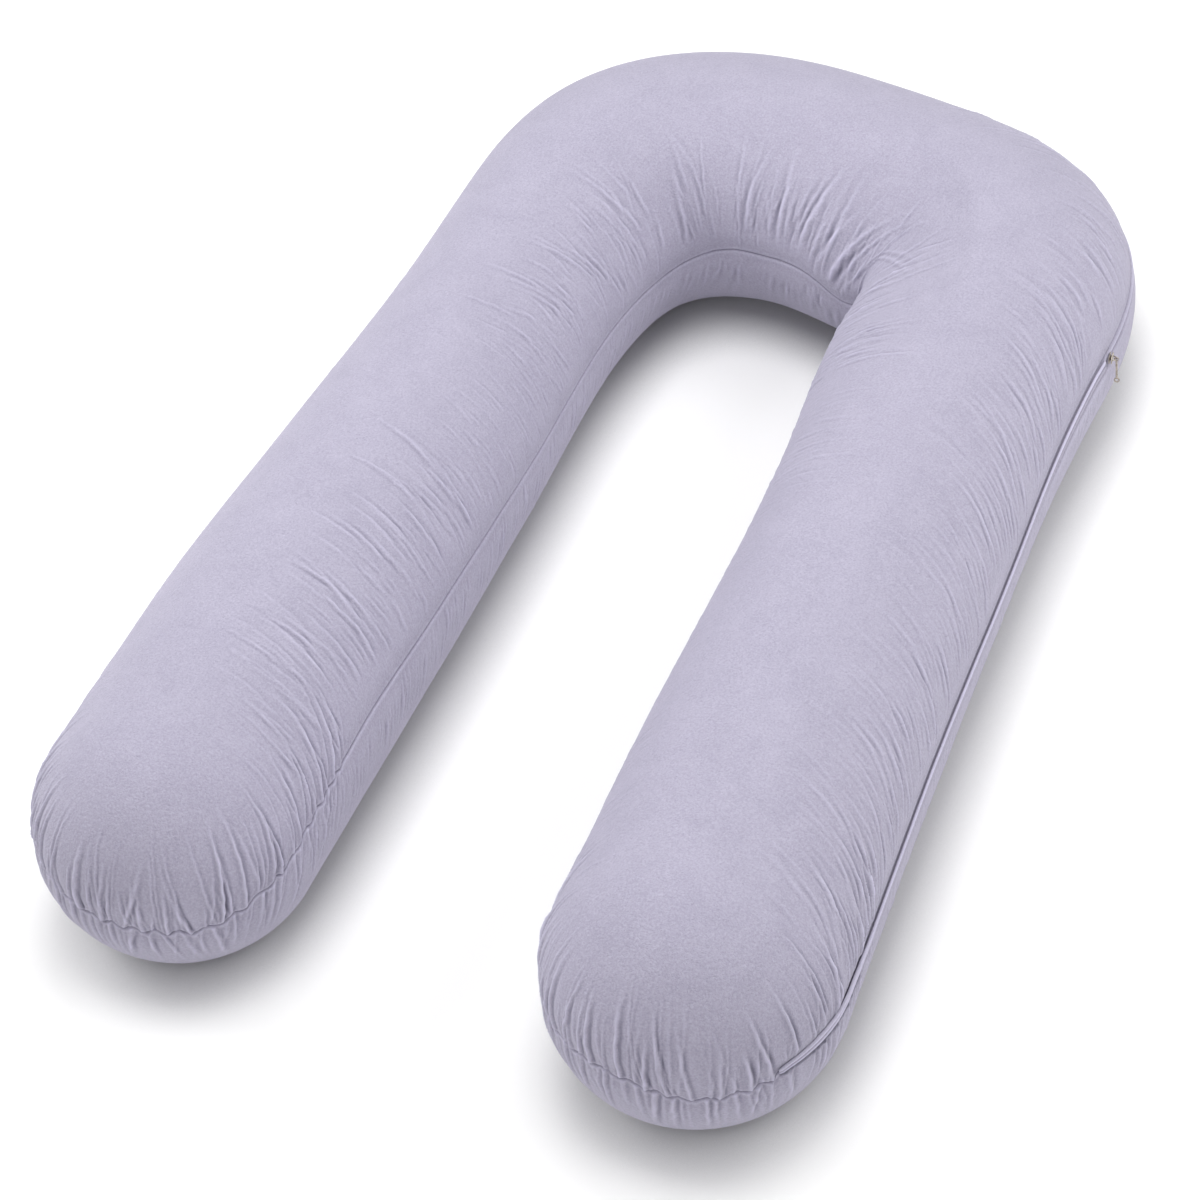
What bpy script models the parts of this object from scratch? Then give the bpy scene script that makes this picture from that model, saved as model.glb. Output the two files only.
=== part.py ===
"""U-shaped body pillow with a hidden zip along the outside of its right leg.

Units are metres, +Z is up and the bend of the U points along +Y. The pillow lies on its back on the
plane z = 0, with its origin under the middle of its outline. The cover is two panels sewn together by
one seam at mid-height. The tube between them follows a middle line from the left tip round the bend to
the right tip, and each leg ends in a half dome.
"""

import math

import bmesh
import bpy
import numpy as np
from mathutils import Matrix, Vector
from mathutils.bvhtree import BVHTree

UP = Vector((0, 0, 1))

# Cross sections along the tube, in millimetres: its middle, and from there how far the filling pushes the
# inner side of the U and the outer side. The left leg is the shorter one.
SECTIONS = (
    # where, middle x, middle y, inner reach, outer reach
    ("left tip", -268, 170, 143, 147),
    ("left low", -269, 435, 141, 148),
    ("left high", -267, 770, 132, 131),
    ("left bend", -258, 1068, 129, 133),
    ("left shoulder", -206, 1190, 134, 162),
    ("left of crown", -112, 1257, 147, 149),
    ("crown", -7, 1265, 146, 139),
    ("right of crown", 106, 1234, 139, 149),
    ("right shoulder", 203, 1174, 116, 172),
    ("right bend", 253, 1020, 137, 146),
    ("right high", 262, 766, 137, 138),
    ("right low", 276, 445, 144, 144),
    ("right tip", 292, 151, 147, 148),
)

# Section of the filled tube: a wide stretch is also a little higher, and the underside settles flat.
TYPICAL_REACH = 0.138
TYPICAL_HEIGHT = 0.2365
HEIGHT_FOLLOWS = 0.6
SEAM_LEVEL = 0.488
UPPER_SQUARE = 2.1
LOWER_SQUARE = 2.24
SETTLED = 0.009

# The seam wanders up and down. A lap of it runs from 0 to 1 along the outer side from the left tip, to 2
# round the right tip, to 3 back along the inner side and to 4 round the left tip.
SEAM_WANDERS = (
    # lap, degrees round the section above its level
    (0.00, 6.0), (0.15, 3.0), (0.40, 3.0), (0.55, 7.0), (0.63, 9.8), (0.68, 8.8), (0.73, 5.2), (0.80, 3.6),
    (0.88, 4.6), (0.95, 3.0), (1.00, 2.8), (1.15, 1.4), (1.25, 0.4), (1.36, -2.0), (1.44, -0.6), (1.55, 4.0),
    (1.66, 3.5), (1.75, 2.2), (1.90, 4.0), (2.00, 4.4), (2.20, 3.6), (2.36, 1.2), (2.40, 1.4), (2.42, -1.6),
    (2.44, -3.6), (2.46, 2.8), (2.48, 5.2), (2.50, 4.1), (2.53, 3.4), (2.60, -2.0), (2.65, 1.0), (2.70, 4.5),
    (2.76, 5.2), (2.83, 8.8), (2.89, 10.4), (2.935, 12.8), (2.97, 11.2), (3.00, 9.2), (3.07, 5.6), (3.15, 2.7),
    (3.24, -1.4), (3.30, -3.2), (3.40, -1.8), (3.50, -0.2), (3.60, 1.8), (3.70, 4.4), (3.80, 6.4), (4.00, 6.0),
)

# The inside corner between the bend and the right leg is full: the skin reaches further in and slopes more.
CORNER_LAP = 2.383
CORNER_WIDTH = 0.083
CORNER_FILL = 0.0173
CORNER_SLOPE = 1.3

# Rows of the cage on each side of the seam.
ROWS = (
    # degrees round the section from the seam, share of the seam's draw-in, share of the gathers
    (62, 0.0, 0.0),
    (36, 0.0, 0.35),
    (16, 0.0, 0.9),
    (4.5, 0.0, 1.0),
    (0, 1.0, 0.55),
    (-4.5, 0.0, 0.9),
    (-17, 0.0, 0.6),
    (-48, 0.0, 0.1),
)
SEAM_DRAW_IN = 0.0035
CAGE_PASSES = 6

# Gathers: each is a ridge and a trough across the seam, so it takes two columns of the cage.
END_GATHERS = 16
END_GATHER_DEPTH = 0.0022
BEND_GATHERS = 10
BEND_GATHER_DEPTH = 0.0026
LEAST_GATHER = 0.4
GATHER_PACE = 2.3
LEG_STEPS = 8

# Folded strip of cloth that hides the zip. Its level is measured from the seam, and its top end along
# the middle line from the left tip.
FLAP_WIDTH = 0.012
FLAP_THICK = 0.0034
FLAP_ROUND = 0.0012
FLAP_WIDEST = 0.45
FLAP_TOP_DISTANCE = 1.629
FLAP_LEG_STEPS = 60
FLAP_END_TURN = 40
FLAP_TURN_STEPS = 20
FLAP_EASE_STEPS = 30
FLAP_LEVEL_AT_END = 0.006
FLAP_LEVEL_ON_LEG = -0.005
SEAT_GAP = 0.0004
SEAT_SAMPLES = 5

# Metal slider: two plates held by a post, with a wire bail on the outer plate.
SLIDER_LENGTH = 0.0110
SLIDER_WIDTH = 0.0080
PLATE_THICK = 0.0012
PLATE_SPACE = 0.0014
POST_SIZE = 0.0040
EDGE_ROUND = 0.0004
BAIL_RADIUS = 0.0034
BAIL_RISE = 0.0006
WIRE_RADIUS = 0.0006
BAIL_STEPS = 24
WIRE_STEPS = 8
SLIDER_CLEAR = 0.0008

# Metal pull: a flat bar with a small eye at the bail and a larger ring at its free end.
PULL_LENGTH = 0.036
PULL_THICK = 0.0012
BAR_WIDTH = 0.0022
EYE_RADIUS = 0.0026
EYE_HOLE = 0.0015
RING_RADIUS = 0.0032
RING_HOLE = 0.0019
HANG_GAP = 0.0003
ROUND_STEPS = 16
WELD_DISTANCE = 0.00001

FLOOR_SIZE = 2.0

LILAC = (0.57, 0.54, 0.67)
NICKEL = (0.42, 0.38, 0.33)


def clear_scene():
    for old in list(bpy.data.objects):
        bpy.data.objects.remove(old, do_unlink=True)


def make_collection(name):
    collection = bpy.data.collections.new(name)
    bpy.context.scene.collection.children.link(collection)
    return collection


def make_material(name, colour, roughness, metallic):
    material = bpy.data.materials.new(name)
    material.use_nodes = True
    shader = material.node_tree.nodes["Principled BSDF"]
    shader.inputs["Base Color"].default_value = (*colour, 1.0)
    shader.inputs["Roughness"].default_value = roughness
    shader.inputs["Metallic"].default_value = metallic
    return material


def add_object(name, data, collection, material=None):
    """Object for a mesh or curve, in the given collection."""
    made = bpy.data.objects.new(name, data)
    collection.objects.link(made)
    if material:
        data.materials.append(material)
    return made


def evaluated_mesh(source):
    """New mesh of an object with its modifiers worked out, in the object's own space."""
    graph = bpy.context.evaluated_depsgraph_get()
    graph.update()
    return bpy.data.meshes.new_from_object(source.evaluated_get(graph))


# Middle line and cross sections ---------------------------------------------


def natural_spline(knots, values):
    """Smooth curve through the values at the knots, as a function that gives its value and slope."""
    gaps = np.diff(knots)
    rises = np.diff(values) / gaps
    last = len(knots) - 1
    system = np.eye(last + 1)
    right_side = np.zeros(last + 1)
    for i in range(1, last):
        system[i, i - 1:i + 2] = gaps[i - 1], 2 * (gaps[i - 1] + gaps[i]), gaps[i]
        right_side[i] = 6 * (rises[i] - rises[i - 1])
    bends = np.linalg.solve(system, right_side)

    def curve(distance):
        i = int(np.clip(np.searchsorted(knots, distance) - 1, 0, last - 1))
        gap = gaps[i]
        near = (knots[i + 1] - distance) / gap
        far = 1 - near
        sag = (near ** 3 - near) * bends[i] + (far ** 3 - far) * bends[i + 1]
        value = near * values[i] + far * values[i + 1] + sag * gap ** 2 / 6
        turn = (3 * far ** 2 - 1) * bends[i + 1] - (3 * near ** 2 - 1) * bends[i]
        return value, rises[i] + turn * gap / 6

    return curve


def section_knots():
    """Distance along the table's points from the left tip to each section."""
    points = np.array([row[1:3] for row in SECTIONS]) / 1000
    steps = np.hypot(*np.diff(points, axis=0).T)
    return np.concatenate(([0.0], np.cumsum(steps)))


KNOTS = section_knots()
CURVES = [natural_spline(KNOTS, np.array([row[i] for row in SECTIONS]) / 1000) for i in range(1, 5)]
SEAM_CURVE = natural_spline(*np.array(SEAM_WANDERS).T)


def distance_of(where):
    """Distance of a named section from the left tip."""
    names = [row[0] for row in SECTIONS]
    return KNOTS[names.index(where)]


def tube_section(distance):
    """Middle of the tube, its direction towards the outer side, and its inner and outer reach."""
    (x, slope_x), (y, slope_y), (inner, _), (outer, _) = [curve(distance) for curve in CURVES]
    outward = Vector((-slope_y, slope_x, 0)).normalized()
    return Vector((x, y, 0)), outward, inner, outer


def signed_power(value, exponent):
    return math.copysign(abs(value) ** exponent, value)


def turned(direction, end_direction, degrees):
    """Direction turned by degrees towards the direction that a leg's end points in."""
    turn = math.radians(degrees)
    return direction * math.cos(turn) + end_direction * math.sin(turn)


def leg_end_direction(outward):
    """Way the tip of a leg points: square to the section, away from the bend."""
    ahead = outward.cross(UP)
    return ahead if ahead.y < 0 else -ahead


# Filled pillow --------------------------------------------------------------


def tube_height(inner, outer):
    reach = (inner + outer) / 2
    return TYPICAL_HEIGHT * (reach / TYPICAL_REACH) ** HEIGHT_FOLLOWS


def seam_angle(lap):
    """Degrees round the section at which the seam lies."""
    return SEAM_CURVE(lap)[0]


def skin_height(height, angle):
    """Height over the plane of the skin at an angle round a section."""
    level = height * SEAM_LEVEL
    square = UPPER_SQUARE if angle >= 0 else LOWER_SQUARE
    rise = signed_power(math.sin(math.radians(angle)), 2 / square)
    return level + rise * (height - level if angle >= 0 else level + SETTLED)


def corner_share(lap):
    """How much a place on the seam belongs to the full inside corner, from 0 to 1."""
    return math.exp(-((lap - CORNER_LAP) / CORNER_WIDTH) ** 2)


def skin_point(middle, direction, reach, height, angle, slope, push):
    """Point of the skin at an angle round the section, pushed out square to it."""
    turn = math.radians(angle)
    power = 2 / UPPER_SQUARE * slope if angle >= 0 else 2 / LOWER_SQUARE
    across = math.cos(turn) ** power
    out = direction * math.cos(turn) + UP * math.sin(turn)
    return middle + direction * (reach * across) + UP * skin_height(height, angle) + out * push


def gather_push(index, depth):
    """Height of a gather's ridge (even columns) or depth of its trough (odd ones), uneven as sewn."""
    wave = (1 + math.sin(GATHER_PACE * index)) / 2
    uneven = LEAST_GATHER + (1 - LEAST_GATHER) * wave
    return depth * uneven * (1 if index % 2 == 0 else -1)


def skin_column(middle, direction, reach, height, lap, ripple):
    """Points of the cage on one side of the middle line, from the crown down, without the shared ones."""
    seam = seam_angle(lap)
    corner = corner_share(lap)
    reach += CORNER_FILL * corner
    slope = 1 + CORNER_SLOPE * corner
    column = []
    for angle, draw, share in ROWS:
        tilted = angle + seam * (1 - abs(angle) / 90)
        push = ripple * share - SEAM_DRAW_IN * draw
        column.append(skin_point(middle, direction, reach, height, tilted, slope, push))
    return column


def tube_distances():
    """Where the cage's cross sections lie: even along the legs, two for each gather in the bend."""
    start, end = distance_of("left bend"), distance_of("right bend")
    left = np.linspace(0, start, LEG_STEPS + 1)
    bend = np.linspace(start, end, 2 * BEND_GATHERS + 1)
    right = np.linspace(end, KNOTS[-1], LEG_STEPS + 1)
    return [*left[:-1], *bend, *right[1:]]


def bend_ripple(index, distance):
    """Gathers on the inside of the bend, fading out where the legs start."""
    start, end = distance_of("left bend"), distance_of("right bend")
    share = (distance - start) / (end - start)
    if not 0 < share < 1:
        return 0
    return gather_push(index, BEND_GATHER_DEPTH) * math.sqrt(math.sin(math.pi * share))


def end_columns(distance, is_right):
    """Columns of the half dome at a leg's end, between its two sides and on round the seam."""
    middle, outward, inner, outer = tube_section(distance)
    height = tube_height(inner, outer)
    end_direction = leg_end_direction(outward)
    steps = 2 * END_GATHERS
    columns = []
    for i in range(1, steps):
        share = i / steps if is_right else 1 - i / steps
        direction = turned(outward, end_direction, 180 * share)
        reach = outer + (inner - outer) * share
        ripple = gather_push(i, END_GATHER_DEPTH)
        lap = 1 + share if is_right else 4 - share
        columns.append(skin_column(middle, direction, reach, height, lap, ripple))
    return columns


def pillow_columns():
    """All columns in order round the seam, each with the cross section whose crown point it shares."""
    distances = tube_distances()
    sections = [tube_section(distance) for distance in distances]
    last = len(distances) - 1
    outer_side, inner_side = [], []
    for i, (middle, outward, inner, outer) in enumerate(sections):
        height = tube_height(inner, outer)
        ripple = bend_ripple(i, distances[i])
        lap = distances[i] / KNOTS[-1]
        outer_side.append((skin_column(middle, outward, outer, height, lap, 0), i))
        inner_side.append((skin_column(middle, -outward, inner, height, 3 - lap, ripple), i))
    right_end = [(column, last) for column in end_columns(distances[-1], True)]
    left_end = [(column, 0) for column in end_columns(distances[0], False)]
    return outer_side + right_end + inner_side[::-1] + left_end, sections


def build_cage():
    """Closed cage of the pillow: columns round the seam that meet in a crown line and a base line."""
    columns, sections = pillow_columns()
    cage = bmesh.new()
    crown, base = [], []
    for middle, _, inner, outer in sections:
        crown.append(cage.verts.new(middle + UP * tube_height(inner, outer)))
        base.append(cage.verts.new(middle - UP * SETTLED))
    lines = []
    for column, spot in columns:
        skin = [cage.verts.new(point) for point in column]
        lines.append([crown[spot], *skin, base[spot]])
    for line, following in zip(lines, lines[1:] + lines[:1]):
        for row in range(len(line) - 1):
            corners = [line[row], line[row + 1], following[row + 1], following[row]]
            unique = list(dict.fromkeys(corners))
            cage.faces.new(unique)
    bmesh.ops.recalc_face_normals(cage, faces=cage.faces)
    mesh = bpy.data.meshes.new("pillow")
    cage.to_mesh(mesh)
    cage.free()
    return mesh


def push_cage_out(pillow):
    """Move the cage so that its smooth skin, and not the cage, passes through the stated sizes."""
    targets = [vertex.co.copy() for vertex in pillow.data.vertices]
    for _ in range(CAGE_PASSES):
        smooth = evaluated_mesh(pillow)
        for vertex, target in zip(pillow.data.vertices, targets):
            vertex.co += target - smooth.vertices[vertex.index].co
        bpy.data.meshes.remove(smooth)
        pillow.data.update()


def build_pillow(collection, cutters, material):
    pillow = add_object("pillow", build_cage(), collection, material)
    smooth = pillow.modifiers.new("Filled form", "SUBSURF")
    smooth.levels = 1
    smooth.render_levels = 1
    push_cage_out(pillow)

    bpy.ops.mesh.primitive_cube_add(size=FLOOR_SIZE, location=(0, FLOOR_SIZE / 4, -FLOOR_SIZE / 2))
    floor = bpy.context.active_object
    floor.name = "Floor cutter"
    hide_cutter(floor, cutters)
    flat = pillow.modifiers.new("Flat underside", "BOOLEAN")
    flat.operation = "DIFFERENCE"
    flat.solver = "EXACT"
    flat.object = floor
    pillow.data.shade_smooth()
    return pillow


def move_to(item, collection):
    for current in item.users_collection:
        current.objects.unlink(item)
    collection.objects.link(item)


def hide_cutter(cutter, cutters):
    move_to(cutter, cutters)
    cutter.hide_render = True
    cutter.display_type = "WIRE"


# Zip ------------------------------------------------------------------------


def skin_reach(skin, middle, direction, z):
    """Distance from the tube's middle out to the skin at height z."""
    outside = middle + direction + UP * z
    hit = skin.ray_cast(outside, -direction)[0]
    return (hit - middle).dot(direction)


def outer_seam(distance):
    """Middle of the tube, direction towards its outer side and height of the seam there."""
    middle, outward, inner, outer = tube_section(distance)
    seam = skin_height(tube_height(inner, outer), seam_angle(distance / KNOTS[-1]))
    return middle, outward, seam


def flap_stations():
    """Sections under the flap, from its end on the leg's tip to the slider: middle, direction and seam
    level. It has a ring at every second one; the others are where the skin between two rings is felt
    for."""
    middle, outward, inner, outer = tube_section(KNOTS[-1])
    end_direction = leg_end_direction(outward)
    height = tube_height(inner, outer)
    stations = []
    for i in range(FLAP_TURN_STEPS):
        degrees = FLAP_END_TURN * (1 - i / FLAP_TURN_STEPS)
        seam = skin_height(height, seam_angle(1 + degrees / 180))
        stations.append((middle, turned(outward, end_direction, degrees), seam))
    for distance in np.linspace(KNOTS[-1], FLAP_TOP_DISTANCE, FLAP_LEG_STEPS + 1):
        middle, outward, seam = outer_seam(distance)
        stations.append((middle, outward, seam))
    return stations


def seat_reach(skin, station, level):
    """Reach at which a flat-backed strip clears the skin at every height it covers."""
    middle, direction, _ = station
    heights = [level + FLAP_WIDTH * (i / (SEAT_SAMPLES - 1) - 0.5) for i in range(SEAT_SAMPLES)]
    return max(skin_reach(skin, middle, direction, z) for z in heights) + SEAT_GAP


def flap_offset(index):
    """Height of the flap's middle over the seam: above it at the leg's tip, then just below it."""
    share = min(index / FLAP_EASE_STEPS, 1)
    ease = share * share * (3 - 2 * share)
    return FLAP_LEVEL_AT_END * (1 - ease) + FLAP_LEVEL_ON_LEG * ease


def build_flap(skin, collection, material):
    """Folded strip, as a loft of one rounded section along the side of the leg."""
    half = FLAP_WIDTH / 2
    profile = (
        # out from the seat, up from the flap's level
        (0, half - FLAP_ROUND),
        (FLAP_THICK * FLAP_WIDEST, half),
        (FLAP_THICK, half - 2 * FLAP_ROUND),
        (FLAP_THICK, 2 * FLAP_ROUND - half),
        (FLAP_THICK * FLAP_WIDEST, -half),
        (0, FLAP_ROUND - half),
    )
    strip = bmesh.new()
    rings = []
    stations = flap_stations()
    for i in range(0, len(stations), 2):
        middle, direction, seam = stations[i]
        level = seam + flap_offset(i)
        neighbours = stations[max(i - 1, 0):i + 2]
        reach = max(seat_reach(skin, near, level) for near in neighbours)
        ring = []
        for out, rise in profile:
            ring.append(strip.verts.new(middle + direction * (reach + out) + UP * (level + rise)))
        rings.append(ring)
    for ring, following in zip(rings, rings[1:]):
        for a in range(len(profile)):
            b = (a + 1) % len(profile)
            strip.faces.new((ring[a], ring[b], following[b], following[a]))
    strip.faces.new(rings[0])
    strip.faces.new(rings[-1])
    bmesh.ops.recalc_face_normals(strip, faces=strip.faces)
    mesh = bpy.data.meshes.new("zip_flap")
    strip.to_mesh(mesh)
    strip.free()
    return add_object("zip_flap", mesh, collection, material)


def slider_frame(skin):
    """Place of the slider: X runs up the seam away from the flap, Y out from the pillow, Z up."""
    middle, direction, seam = outer_seam(FLAP_TOP_DISTANCE)
    level = seam + FLAP_LEVEL_ON_LEG
    along = (-leg_end_direction(direction)).normalized()
    ahead = along * (SLIDER_LENGTH / 2 + SLIDER_CLEAR)
    reach = max(
        skin_reach(skin, middle + ahead + along * step, direction, level + rise)
        for step in (-SLIDER_LENGTH / 2, 0, SLIDER_LENGTH / 2)
        for rise in (-SLIDER_WIDTH / 2, 0, SLIDER_WIDTH / 2)
    )
    origin = middle + ahead + direction * (reach + SEAT_GAP) + UP * level
    turn = Matrix((along, direction, along.cross(direction))).transposed().to_4x4()
    return Matrix.Translation(origin) @ turn


def add_block(name, size, location, frame):
    """Block of the given size, centred at a location in the slider's frame."""
    bpy.ops.mesh.primitive_cube_add(size=1)
    block = bpy.context.active_object
    block.name = name
    block.data.transform(Matrix.Diagonal((*size, 1)))
    block.matrix_world = frame @ Matrix.Translation(location)
    edges = block.modifiers.new("Rounded edges", "BEVEL")
    edges.width = EDGE_ROUND
    edges.segments = 2
    return block


def join_to(base, piece, cutters):
    """Union of a piece with the base, the piece being kept as a hidden cutter."""
    hide_cutter(piece, cutters)
    union = base.modifiers.new(piece.name, "BOOLEAN")
    union.operation = "UNION"
    union.solver = "EXACT"
    union.object = piece


def build_slider(frame, collection, cutters, material):
    outer_face = 2 * PLATE_THICK + PLATE_SPACE
    plate = (SLIDER_LENGTH, PLATE_THICK, SLIDER_WIDTH)
    slider = add_block("zip_slider", plate, (0, PLATE_THICK / 2, 0), frame)
    move_to(slider, collection)
    slider.data.materials.append(material)

    top = add_block("Slider outer plate", plate, (0, outer_face - PLATE_THICK / 2, 0), frame)
    post_size = (POST_SIZE, outer_face - PLATE_THICK, POST_SIZE)
    post = add_block("Slider post", post_size, (0, outer_face / 2, 0), frame)
    bpy.ops.mesh.primitive_torus_add(
        major_radius=BAIL_RADIUS, minor_radius=WIRE_RADIUS,
        major_segments=BAIL_STEPS, minor_segments=WIRE_STEPS,
    )
    bail = bpy.context.active_object
    bail.name = "Slider bail"
    bail.matrix_world = frame @ Matrix.Translation((0, outer_face + BAIL_RISE, 0))
    for piece in (post, top, bail):
        join_to(slider, piece, cutters)
    return slider


def arc_points(centre_y, radius, start, sweep):
    """Points of an arc round a centre on the pull's middle line, with its angles in degrees."""
    points = []
    for i in range(ROUND_STEPS + 1):
        turn = math.radians(start + sweep * i / ROUND_STEPS)
        points.append((radius * math.cos(turn), centre_y + radius * math.sin(turn)))
    return points


def add_closed_line(curve, outline):
    spline = curve.splines.new("POLY")
    spline.points.add(len(outline) - 1)
    for point, (x, y) in zip(spline.points, outline):
        point.co = (x, y, 0, 1)
    spline.use_cyclic_u = True


def draw_pull(curve):
    """Outline of the pull: the eye at the top, the bar and the ring at the bottom."""
    ring_y = EYE_RADIUS + RING_RADIUS - PULL_LENGTH
    outline = []
    for centre_y, radius, middle_turn in ((0, EYE_RADIUS, 90), (ring_y, RING_RADIUS, 270)):
        bar_turn = math.degrees(math.asin(BAR_WIDTH / 2 / radius))
        sweep = 360 - 2 * bar_turn
        outline += arc_points(centre_y, radius, middle_turn - sweep / 2, sweep)
    add_closed_line(curve, outline)
    add_closed_line(curve, arc_points(0, EYE_HOLE, 0, 360)[:-1])
    add_closed_line(curve, arc_points(ring_y, RING_HOLE, 0, 360)[:-1])


def build_pull(frame, collection, material):
    """Flat pull that hangs straight down with the bail's wire through its eye."""
    curve = bpy.data.curves.new("zip_pull", "CURVE")
    curve.dimensions = "2D"
    curve.fill_mode = "BOTH"
    curve.extrude = PULL_THICK / 2
    draw_pull(curve)
    flat = add_object("Pull outline", curve, collection)
    mesh = evaluated_mesh(flat)
    bpy.data.objects.remove(flat, do_unlink=True)
    welded = bmesh.new()
    welded.from_mesh(mesh)
    bmesh.ops.remove_doubles(welded, verts=welded.verts, dist=WELD_DISTANCE)
    welded.to_mesh(mesh)
    welded.free()
    mesh.name = "zip_pull"

    pull = add_object("zip_pull", mesh, collection, material)
    outer_face = 2 * PLATE_THICK + PLATE_SPACE
    drop = EYE_HOLE - WIRE_RADIUS - HANG_GAP
    wire = frame @ Vector((0, outer_face + BAIL_RISE + BAIL_RADIUS, 0))
    along = frame.to_3x3().col[0]
    outward = frame.to_3x3().col[1]
    hang = Matrix((outward, UP, outward.cross(UP))).transposed().to_4x4()
    pull.matrix_world = Matrix.Translation(wire - UP * drop) @ hang
    return pull


def centre_on_origin(objects, outline):
    """Put the middle of the pillow's outline over the origin."""
    xs = [vertex.co.x for vertex in outline.vertices]
    ys = [vertex.co.y for vertex in outline.vertices]
    shift = Vector((-(min(xs) + max(xs)) / 2, -(min(ys) + max(ys)) / 2, 0))
    for item in objects:
        item.location += shift


def main():
    clear_scene()
    collection = make_collection("U-shaped body pillow")
    cutters = make_collection("Cutters")
    cloth = make_material("Velvet knit", LILAC, 0.9, 0.0)
    metal = make_material("Nickel plate", NICKEL, 0.38, 1.0)

    pillow = build_pillow(collection, cutters, cloth)
    filled = evaluated_mesh(pillow)
    skin = BVHTree.FromPolygons(
        [vertex.co for vertex in filled.vertices],
        [face.vertices for face in filled.polygons],
    )
    frame = slider_frame(skin)
    build_flap(skin, collection, cloth)
    build_slider(frame, collection, cutters, metal)
    build_pull(frame, collection, metal)
    centre_on_origin([*collection.objects, *cutters.objects], filled)


main()
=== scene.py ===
"""Looks of the U-shaped body pillow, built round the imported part.

The cover is drawn on a fine net: columns run down from the crown, over the seam, to the underside, and rows
follow the seam. The net takes the pillow's form from the same cross sections as the part's own source. Then
come the seam, the gathers and the small creases of the velvet.
"""

import math

import bmesh
import bpy
import numpy as np
from mathutils import Matrix, Vector, noise


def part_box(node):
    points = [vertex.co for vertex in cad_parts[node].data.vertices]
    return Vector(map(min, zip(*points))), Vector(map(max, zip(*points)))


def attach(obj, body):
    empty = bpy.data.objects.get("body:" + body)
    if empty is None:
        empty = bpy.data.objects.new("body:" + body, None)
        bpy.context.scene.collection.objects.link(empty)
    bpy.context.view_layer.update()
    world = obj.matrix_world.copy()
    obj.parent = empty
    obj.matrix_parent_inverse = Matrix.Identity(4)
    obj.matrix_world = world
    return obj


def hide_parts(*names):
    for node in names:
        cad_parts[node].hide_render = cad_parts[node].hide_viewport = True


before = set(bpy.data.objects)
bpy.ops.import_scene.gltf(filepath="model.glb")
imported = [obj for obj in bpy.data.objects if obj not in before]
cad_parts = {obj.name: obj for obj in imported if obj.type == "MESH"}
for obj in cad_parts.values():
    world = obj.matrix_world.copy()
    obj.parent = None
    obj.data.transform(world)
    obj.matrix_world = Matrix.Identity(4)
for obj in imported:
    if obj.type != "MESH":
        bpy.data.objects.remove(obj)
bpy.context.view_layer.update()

# Pillow ---------------------------------------------------------------------

# Cross sections along the tube, in millimetres, as in the part's own source.
SECTIONS = (
    # where, middle x, middle y, inner reach, outer reach
    ("left tip", -268, 170, 143, 147),
    ("left low", -269, 435, 141, 148),
    ("left high", -267, 770, 132, 131),
    ("left bend", -258, 1068, 129, 133),
    ("left shoulder", -206, 1190, 134, 162),
    ("left of crown", -112, 1257, 147, 149),
    ("crown", -7, 1265, 146, 139),
    ("right of crown", 106, 1234, 139, 149),
    ("right shoulder", 203, 1174, 116, 172),
    ("right bend", 253, 1020, 137, 146),
    ("right high", 262, 766, 137, 138),
    ("right low", 276, 445, 144, 144),
    ("right tip", 292, 151, 147, 148),
)
# The tube is this high where it reaches this far, and its height follows a wider reach only in part.
TYPICAL_REACH = 0.138
TYPICAL_HEIGHT = 0.2365
HEIGHT_FOLLOWS = 0.6
# Level of the seam as a share of the height, how square the section is above and below it (2 is an ellipse),
# and how deep the section would sink into what it lies on, where it is flat instead.
SEAM_LEVEL = 0.488
UPPER_SQUARE = 2.1
LOWER_SQUARE = 2.24
SETTLED = 0.009

# The seam wanders up and down. A lap of it runs from 0 to 1 along the outer side from the left tip, to 2
# round the right tip, to 3 back along the inner side and to 4 round the left tip.
SEAM_WANDERS = (
    # lap, degrees round the section above its level
    (0.00, 6.0), (0.15, 3.0), (0.40, 3.0), (0.55, 7.0), (0.63, 9.8), (0.68, 8.8), (0.73, 5.2),
    (0.80, 3.6), (0.88, 4.6), (0.95, 3.0), (1.00, 2.8), (1.15, 1.4), (1.25, 0.4), (1.36, -2.0),
    (1.44, -0.6), (1.55, 4.0), (1.66, 3.5), (1.75, 2.2), (1.90, 4.0), (2.00, 4.4), (2.20, 3.6),
    (2.36, 1.2), (2.40, 1.4), (2.42, -1.6), (2.44, -3.6), (2.46, 2.8), (2.48, 5.2), (2.50, 4.1),
    (2.53, 3.4), (2.60, -2.0), (2.65, 1.0), (2.70, 4.5), (2.76, 5.2), (2.83, 8.8), (2.89, 10.4),
    (2.935, 12.8), (2.97, 11.2), (3.00, 9.2), (3.07, 5.6), (3.15, 2.7), (3.24, -1.4), (3.30, -3.2),
    (3.40, -1.8), (3.50, -0.2), (3.60, 1.8), (3.70, 4.4), (3.80, 6.4), (4.00, 6.0),
)

# The inside corner between the bend and the right leg is full: the skin reaches further in and slopes more.
CORNER_LAP = 2.383
CORNER_WIDTH = 0.083
CORNER_FILL = 0.0173
CORNER_SLOPE = 1.3

# The net's columns are set out along the middle line on the legs and the bend, and by number round each leg's
# end. Its rows lie close together at the seam and open out towards the crown and the underside.
LEG_COLUMN_STEP = 0.00125
BEND_COLUMN_STEP = 0.0020
END_COLUMNS = 380
ROWS_ABOVE = 66
ROWS_BELOW = 34
STEPS_ABOVE = (
    # share of the rows, step to the next row (relative)
    (0.0, 0.6), (0.2, 2.6), (0.65, 3.0), (1.0, 11.0),
)
STEPS_BELOW = (
    # the same
    (0.0, 0.6), (0.4, 2.0), (1.0, 14.0),
)
PROFILE_SAMPLES = 160
UNDERSIDE_ROUND = 0.004

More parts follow.
